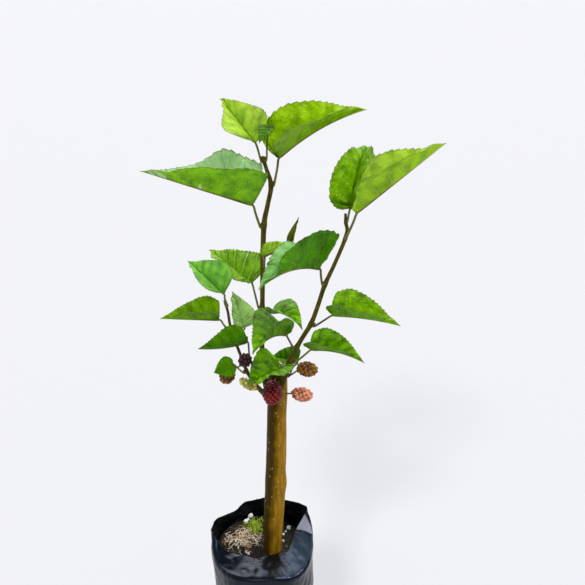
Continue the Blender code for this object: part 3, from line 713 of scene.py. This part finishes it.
def build_soil():
    """The soil that fills the bag, with loose crumbs on its top."""
    # Damp peat: near black, matt and crumbly.
    earth = plain("peaty_potting_soil", "#060403", "#2A1C10", 0.0035, 0.95, 0.0012)
    soil = rolled("soil_bed", soil_column, 96)
    soil.data.materials.append(earth)
    settle(soil, "soil")
    random = Random(4)
    places = []
    for x, y in soil_spots(random, CRUMBS, 42):
        size = random.uniform(0.35, 1.3)
        places.append(placed(on_soil(x, y, size * 0.3), any_turn(random), size))
    crumb = plain("soil_crumb", "#0C0704", "#3E2A18", 0.0012, 0.95, 0.0005)
    settle(scatter("soil_crumbs", lump("crumb", crumb, 1, 0.5), places))


def build_granules():
    """White granules of expanded mineral and fertiliser on the soil."""
    # Perlite: chalk white, matt and rough.
    mineral = plain("white_perlite", "#C9CBC6", "#F4F5F2", 0.0008, 0.8, 0.0003)
    random = Random(9)
    spots = [(-11.4, 40.5, 1.6, 2.3), (-15.5, 35, 0.8, 2.3), (-13.6, 38, 0.4, 1.5), (24.5, 28, 1.0, 2.1),
             (19.3, 20, 0.6, 1.5), (19, 13, 0.6, 1.3), (-11.8, -5, 0.8, 1.3), (-14, -3, 0.6, 1.1),
             (21.5, 24, 0.4, 1.0)]
    spots += [(x, abs(y), 0.3, random.uniform(0.3, 0.7)) for x, y in soil_spots(random, 16, 38)]
    places = [placed(on_soil(x, y, lift), any_turn(random), size) for x, y, lift, size in spots]
    settle(scatter("perlite_granules", lump("granule", mineral, 2, 0.45), places))


def build_fibres():
    """Coir fibres in a loose clump at the stem's left: matt strands, brown or bleached pale."""
    coir, tree, shader, _ = surface("coir_fibre", {"Roughness": 0.8})
    tone = add(tree, "Attribute", {"attribute_name": "tone"})["Fac"]
    colour = add(tree, "ValToRGB", {"stops": [(0.1, "#50381C"), (0.5, "#CCAA7C"), (0.85, "#FFF6E2")]},
                 {"Fac": tone})["Color"]
    tree.links.new(colour, shader.inputs["Base Color"])
    random = Random(21)
    models = []
    for bend in (1.2, 2.2, -1.6, 3.0):
        rows = [(step * 1.8 - 4.5, bend * sin(step * 1.1), 1.3 * sin(step * 0.9), 0.2) for step in range(6)]
        models.append(rod("strand", rows, coir, 2, 0))
    clumps = []
    for index, model in enumerate(models):
        places = []
        for _ in range(STRANDS):
            x = random.gauss(-17.5, 7)
            y = random.gauss(11, 7)
            x, y = max(min(x, -1.5), -34), max(min(y, 27), -4)
            turn = turned(random, 0, 0.35)
            lift = abs(random.gauss(0, 1.8)) * exp(-((x + 17) / 12) ** 2)
            size = random.uniform(0.4, 1.2)
            places.append(placed(on_soil(x, y, 0.4 + lift), turn, size))
        tones = [random.random() for _ in places]
        clumps.append(scatter(f"strands_{index}", model, places, tones))
    settle(join(clumps, "coir_fibres"))


def build_moss():
    """A tuft of moss behind the fibre: many short pointed leaflets."""
    # Living moss: bright yellow green and dull.
    green = plain("feathery_moss", "#64860A", "#CCE03C", 0.002, 0.7, 0.0002)
    random = Random(33)
    leaflet = rod("leaflet", [(0, 0, 0, 0.28), (0.2, 0, 1.2, 0.42), (0.7, 0, 2.4, 0.3), (1.4, 0, 3.2, 0.05)],
                  green, 1, 0)
    places = []
    for _ in range(MOSS_LEAFLETS):
        x, y = random.gauss(MOSS_AT[0], 4), random.gauss(MOSS_AT[1], 5)
        if not clear_of_stem(x, y) or x * x + y * y > MOSS_REACH ** 2:
            continue
        turn = turned(random, 0.3, 0.35)
        heap = 3 * exp(-((x - MOSS_AT[0]) / 5) ** 2 - ((y - MOSS_AT[1]) / 8) ** 2)
        size = random.uniform(0.5, 1.0)
        places.append(placed(on_soil(x, y, heap * random.random() - 0.2), turn, size))
    settle(scatter("moss_tuft", leaflet, places))


def trunk_column(angle):
    """The cutting from its foot up to its cut top, with ribs and shallow dents in its bark."""
    rings = smooth_line(TRUNK, 9)
    x, y, z, radius = rings[0]
    column = [Vector((x, y, z))]
    for x, y, z, radius in rings:
        rib = 0.16 * noise.noise(around(angle, 3.2, z / 26))
        dent = 0.3 * noise.noise(Vector((cos(angle) * 0.9 + 5, sin(angle) * 0.9, z / 17)))
        radius += rib + dent
        column.append(Vector((x + radius * cos(angle), y + radius * sin(angle), z)))
    column += [Vector((x + radius * share * cos(angle), y + radius * share * sin(angle), z + lift))
               for share, lift in ((0.93, 0.5), (0.84, 0.6), (0.3, 0.45))]
    column.append(Vector((x, y, z + 0.2)))
    return column


def shoot_rows(rows):
    """A shoot's rows with a slight swelling wherever a leaf or a bud grows from it."""
    nodes = [spot[1] for spot in LEAVES.values() if SHOOTS[spot[0]] is rows]
    swollen = []
    for x, y, z, radius in smooth_line(rows, 6):
        swelling = max((exp(-((z - height) / 2.6) ** 2) for height in nodes), default=0)
        swollen.append((x, y, z, radius * (1 + 0.22 * swelling)))
    return swollen


def node_on(shoot, height, towards):
    """Where a stalk leaves a shoot: the point on its skin, the way out, and the way up."""
    rows = smooth_line(SHOOTS[shoot], 4)
    low, high = next((a, b) for a, b in zip(rows, rows[1:]) if a[2] <= height <= b[2])
    share = (height - low[2]) / (high[2] - low[2])
    middle = Vector(low[:3]).lerp(Vector(high[:3]), share)
    radius = low[3] + (high[3] - low[3]) * share
    along = (Vector(high[:3]) - Vector(low[:3])).normalized()
    out = Vector(towards) - middle
    out = (out - along * out.dot(along)).normalized()
    return middle + out * radius, out, along


def build_stem():
    """The rooted cutting with its three shoots, and a bud above each leaf's stalk."""
    # Streaks 2.2 and 1.2 mm wide, and pores 4.2 and 2.6 mm apart.
    # The cutting's bark is darkened on its left with painted shade and a stain; the shoots' edge lies far
    # off, so they have neither.
    old_bark = bark("golden_cutting_bark", "#765408", "#AC821C", "#DCC48C", "#2A1E00", 0.0022, 0.0042, 0.0005)
    shoot_bark = bark("olive_shoot_bark", "#2A2607", "#625A16", "#94884C", "#26240F", 0.0012, 0.0026, -1.0)
    trunk = rolled("trunk", trunk_column, 72)
    trunk.data.materials.append(old_bark)
    pieces = [trunk]
    for rows in (TALL_SHOOT, RIGHT_SHOOT, LEFT_SHOOT):
        pieces.append(rod("shoot", shoot_rows(rows), shoot_bark, 1, 4))
    for shoot, height, base, _, _, _, _ in LEAVES.values():
        start, out, along = node_on(shoot, height, base)
        tip = start + along * 3.2 + out * 1.3
        pieces.append(rod("bud", [(*(start - out * 0.5), 0.5), (*(start + along * 0.9 + out * 0.2), 0.95),
                                  (*(start + along * 2.1 + out * 0.8), 0.7), (*tip, 0.05)], shoot_bark, 3, 2))
    settle(join(pieces, "cutting_and_shoots"), "woody_stem")


def edge_point(share):
    """A point on half the leaf's edge, from the base lobe (0) to the tip (1)."""
    place = min(max(share, 0), 1) * (len(LEAF_EDGE) - 1)
    index = min(int(place), len(LEAF_EDGE) - 2)
    return Vector(blend_at(LEAF_EDGE, index, place - index))


def flat_point(phase, across, tooth=0.0):
    """A point of the flat blade, by its place among the side veins and its share across."""
    index = min(int(phase), len(VEINS) - 2)
    share = VEINS[index] + (VEINS[index + 1] - VEINS[index]) * (phase - index)
    edge = edge_point(share)
    run = (edge_point(share + 0.01) - edge_point(share - 0.01)).normalized()
    size = TOOTH * tooth * min(1, 5 * (1 - share))
    edge = edge + (Vector((-run.y, run.x)) + run * 0.9) * size
    rib = Vector((max(0, (share - FAN) / (1 - FAN)) ** 1.15, 0))
    sag = Vector((-VEIN_CURVE * sin(pi * abs(across)) * (1 - share), 0))
    return rib.lerp(edge, abs(across)) + sag


def leaf_frame(base, tip, roll):
    """A blade's base, its forward, up and right directions, and its length."""
    base, tip = Vector(base), Vector(tip)
    forward = (tip - base).normalized()
    up = (Vector((0, 0, 1)) - forward * forward.z).normalized()
    right = forward.cross(up)
    turn = radians(roll)
    up = up * cos(turn) + right * sin(turn)
    return base, forward, up, forward.cross(up), (tip - base).length


def leaf_point(frame_of_leaf, folds, shape, flat, half, lift):
    """A point of the flat blade carried onto its folded, curled and arched form."""
    base, forward, up, right, length = frame_of_leaf
    x = flat.x
    width = shape.get("width", (1, 1))[half] * (1 - shape.get("taper", (0, 0))[half] * max(x, 0))
    width *= 1 - shape.get("pinch", (0, 0))[half] * max(0, 1 - max(x, 0) / 0.35)
    width *= 1 + shape.get("dome", (0, 0))[half] * exp(-((x - DOME_AT) / DOME_REACH) ** 2)
    across = flat.y * width
    arch = shape.get("arch", 0)
    if x < 0:
        x *= shape.get("lobe", 1)
    slope = arch * 4 * (1 - 2 * max(x, 0))
    rise = arch * 4 * x * (1 - x) if x > 0 else slope * x
    level = 1 / sqrt(1 + slope * slope)
    raised = (up - forward * slope) * level
    fold = radians(folds[half]) * (1 - TIP_OPENING * max(x, 0) ** 4)
    curl = radians(CURL)
    start, bend = fold + curl / 2, curl / WIDEST
    out = (sin(start) - sin(start - bend * across)) / bend
    climb = (cos(start - bend * across) - cos(start)) / bend
    side = right if half else -right
    angle = start - bend * across
    normal = raised * cos(angle) - side * sin(angle)
    return base + length * (forward * x + up * rise + side * out + raised * climb) + normal * lift


def build_blade(name, frame_of_leaf, folds, shape, faces):
    """The blade: a grid of side veins by columns, moved to the leaf's form and given thickness."""
    length = frame_of_leaf[4]
    per_vein = 9 if length > 45 else 6
    last = len(VEINS) - 1
    rows = per_vein * last
    quilt = shape.get("quilt", 1.0) * QUILT * length
    pucker = PUCKER * length
    ruffle = shape.get("ruffle", RUFFLE) * length
    seed = len(name) * 0.37
    sheet = flat_grid(name, 2 * HALF_COLUMNS, rows)
    sheet.data.attributes.new("veins", "FLOAT_VECTOR", "POINT")
    sheet.data.attributes.new("edge", "FLOAT", "POINT")
    veins, edges = sheet.data.attributes["veins"], sheet.data.attributes["edge"]
    for corner in sheet.data.vertices:
        column = round((corner.co.x + 1) / 2 * 2 * HALF_COLUMNS) - HALF_COLUMNS
        row = round((corner.co.y + 1) / 2 * rows)
        across = 1 - (1 - abs(column) / HALF_COLUMNS) ** 1.35
        phase = row / per_vein
        half = 1 if column >= 0 else 0
        flat = flat_point(phase, across, (row % 3) / 2 * max(0, across - 0.8) / 0.2)
        shift = noise.noise(Vector((flat.x * 5, flat.y * 5, seed + 4)))
        bulge = abs(sin(pi * (phase + 0.3 * shift))) * sin(pi * min(across * 1.02, 1)) * quilt * (0.8 + shift)
        wave = 2.2 * noise.noise(Vector((phase * 0.55, seed + half * 9, 0))) * across ** 2 * ruffle
        wave += noise.noise(Vector((flat.x * 8, flat.y * 8, seed))) * pucker * across
        fade = min(1, 3 * (1 - row / rows)) * min(1, row / 5)
        low, high = max(phase - 0.5, 0), min(phase + 0.5, last)
        line = (flat_point(phase, 1) - flat_point(phase, 0)).normalized()
        step = flat_point(high, across) - flat_point(low, across)
        span = abs(step.x * line.y - step.y * line.x) * length / (high - low)
        # The place among the side veins, the way from the midrib, and the gap between the veins.
        veins.data[corner.index].vector = (phase, flat.y * length, span)
        edges.data[corner.index].value = across
        corner.co = leaf_point(frame_of_leaf, folds, shape, flat, half, (bulge + wave) * fade)
    weld(sheet, closed=False)
    for face in faces:
        sheet.data.materials.append(face)
    thickness = sheet.modifiers.new("thickness", "SOLIDIFY")
    thickness.thickness = BLADE
    thickness.offset = 0
    thickness.material_offset = 1
    bpy.ops.object.modifier_apply(modifier=thickness.name)
    return sheet


def build_leaf(name, faces, stalk_finish):
    """One leaf: its blade, with the stalk that runs on as its midrib."""
    shoot, height, base, tip, folds, _, shape = LEAVES[name]
    leaf = leaf_frame(base, tip, shape.get("roll", 0))
    length = leaf[4]
    blade = build_blade(name + "_blade", leaf, folds, shape, faces)
    start, out, _ = node_on(shoot, height, base)
    thick = 0.62 + 0.004 * length
    heel = leaf[0] - leaf[1] * 1.5
    rows = [(*(start - out * 0.4), thick * 1.6), (*(start + out * 1.6), thick * 1.15),
            (*start.lerp(leaf[0], 0.6), thick), (*heel, thick)]
    for share in (0.03, 0.2, 0.4, 0.6, 0.8, 0.95):
        point = leaf_point(leaf, folds, shape, Vector((share, 0)), 0, -0.35 * (1 - share))
        rows.append((*point, thick * (0.75 - 0.68 * share)))
    stalk = rod(name + "_stalk", rows, stalk_finish, 4, 2)
    piece = join([blade, stalk], name.replace("leaf_", "") + "_leaf")
    settle(piece, name)


def build_fruit(name, stalk_finish, hair):
    """A fruit of drupelets set round its middle in a spiral, on its stalk."""
    shoot, height, middle, length, width, towards, ripe, unripe = FRUITS[name]
    skin = fruit_skin(name + "_skin", ripe, unripe)
    random = Random(length + width)
    turn = Vector((0, 0, 1)).rotation_difference(Vector(towards)).to_matrix().to_4x4()
    home = Matrix.Translation(Vector(middle)) @ turn
    count = round(length * width * DRUPELETS_PER_AREA)
    ball = lump("drupelet", skin, 2, 0.08)
    places, tones, tufts = [], [], []
    for index in range(count):
        level = 1 - 2 * (index + 0.5) / count
        ring, angle = sqrt(1 - level * level), index * GOLDEN_ANGLE
        way = around(angle, ring, level)
        size = DRUPELET * (width / 12) ** 0.5 * random.uniform(0.78, 1.14)
        spot = Vector((way.x * (width / 2 - size * 0.75), way.y * (width / 2 - size * 0.75),
                       way.z * (length / 2 - size * 0.75)))
        lean = Vector((0, 0, 1)).rotation_difference(way).to_matrix().to_4x4()
        places.append(home @ Matrix.Translation(spot) @ lean @ Matrix.Diagonal((size, size, size * 1.12, 1)))
        tones.append(random.random() * 0.6 + 0.4 * (level + 1) / 2)
        tufts.append(home @ placed(spot + way * size * 0.95, lean @ any_turn(random), 0.55))
    core = lump("core", skin, 3, 0)
    core.data.transform(home @ Matrix.Diagonal((width * 0.4, width * 0.4, length * 0.41, 1)))
    ripeness = core.data.attributes.new("tone", "FLOAT", "POINT")
    ripeness.data.foreach_set("value", [0.1] * len(core.data.vertices))
    flesh = scatter("flesh", ball, places, tones)
    style = rod("style", [(0, 0, 0, 0.16), (0.3, 0, 0.8, 0.1), (1.0, 0, 1.4, 0.04)], hair, 2, 0)
    styles = scatter("styles", style, tufts)
    heel = Vector(middle) - Vector(towards).normalized() * length * 0.42
    start, out, _ = node_on(shoot, height, heel)
    stalk = rod("stalk", [(*(start - out * 0.4), 1.0), (*(start + out * 1.6), 0.75),
                          (*heel.lerp(Vector(middle), 0.25), 0.75)], stalk_finish, 4, 2)
    settle(join([flesh, core, styles, stalk], name.replace("fruit_", "") + "_mulberry"), name)


def build_studio():
    """A plain pale floor, wide soft lamps, and the camera, which looks down by 23 degrees."""
    bpy.ops.object.select_all(action="DESELECT")
    bpy.ops.mesh.primitive_plane_add(size=12, location=(0, 0, 0))
    floor = bpy.context.object
    floor.name = "studio_floor"
    # Matt white card with a faint tooth.
    paper, tree, shader, place = surface("matt_white_card", {"Roughness": 0.9})
    tooth = add(tree, "TexNoise", {}, {"Vector": place, "Scale": 900, "Detail": 3})["Fac"]
    colour = add(tree, "ValToRGB", {"stops": [(0.3, "#C3C3C6"), (0.7, "#C7C7CA")]}, {"Fac": tooth})["Color"]
    tree.links.new(colour, shader.inputs["Base Color"])
    floor.data.materials.append(paper)
    world = bpy.data.worlds.new("studio_air")
    world.use_nodes = True
    sky = world.node_tree.nodes["Background"].inputs
    sky["Color"].default_value = linear("#F4F6FA")
    sky["Strength"].default_value = 0.42
    bpy.context.scene.world = world
    # Lamps far away: the way to each, its light in watts per square metre, its width in degrees.
    lamps = [("key", (0.9, 0.35, 1.45), 2.3, 12), ("front", (-0.35, -1.2, 1.15), 1.2, 9),
             ("back", (-0.1, 1.3, 0.9), 1.5, 50), ("side", (-0.93, 0.17, 0.34), 0.4, 12)]
    for name, way, strength, width in lamps:
        light = bpy.data.lights.new(name, "SUN")
        light.energy = strength
        light.angle = radians(width)
        lamp = bpy.data.objects.new(name, light)
        lamp.rotation_euler = Vector(way).to_track_quat("Z", "Y").to_euler()
        bpy.context.collection.objects.link(lamp)
    view = bpy.data.cameras.new("photographer")
    view.sensor_width = 36
    view.lens = CAMERA_LENS
    view.clip_end = 40
    camera = bpy.data.objects.new("photographer", view)
    camera.location = CAMERA_AT
    camera.rotation_euler = (radians(CAMERA_TILT), 0, 0)
    bpy.context.collection.objects.link(camera)
    bpy.context.scene.camera = camera
    bpy.context.scene.view_settings.view_transform = "Standard"


build_studio()
build_bag()
build_soil()
build_granules()
build_fibres()
build_moss()
build_stem()
stalk_skin = leaf_stalk()
leaf_faces = {}
for tone, (lit, shaded, vein, rim, under, under_shaded) in TONES.items():
    leaf_faces[tone] = (
        leaf_face(tone + "_leaf_upper", lit, shaded, vein, rim, -0.8, 0.62, tone in BOLD_VEINS),
        leaf_face(tone + "_leaf_under", under, under_shaded, vein, rim, 0.8, 0.3, False),
    )
for leaf_name, leaf_row in LEAVES.items():
    build_leaf(leaf_name, leaf_faces[leaf_row[5]], stalk_skin)
# The dried styles of the fruits: thin brown hairs.
dry_hair = plain("dry_style", "#2A1A10", "#6B4A2A", 0.001, 0.8, 0.0001)
for fruit_name in FRUITS:
    build_fruit(fruit_name, stalk_skin, dry_hair)
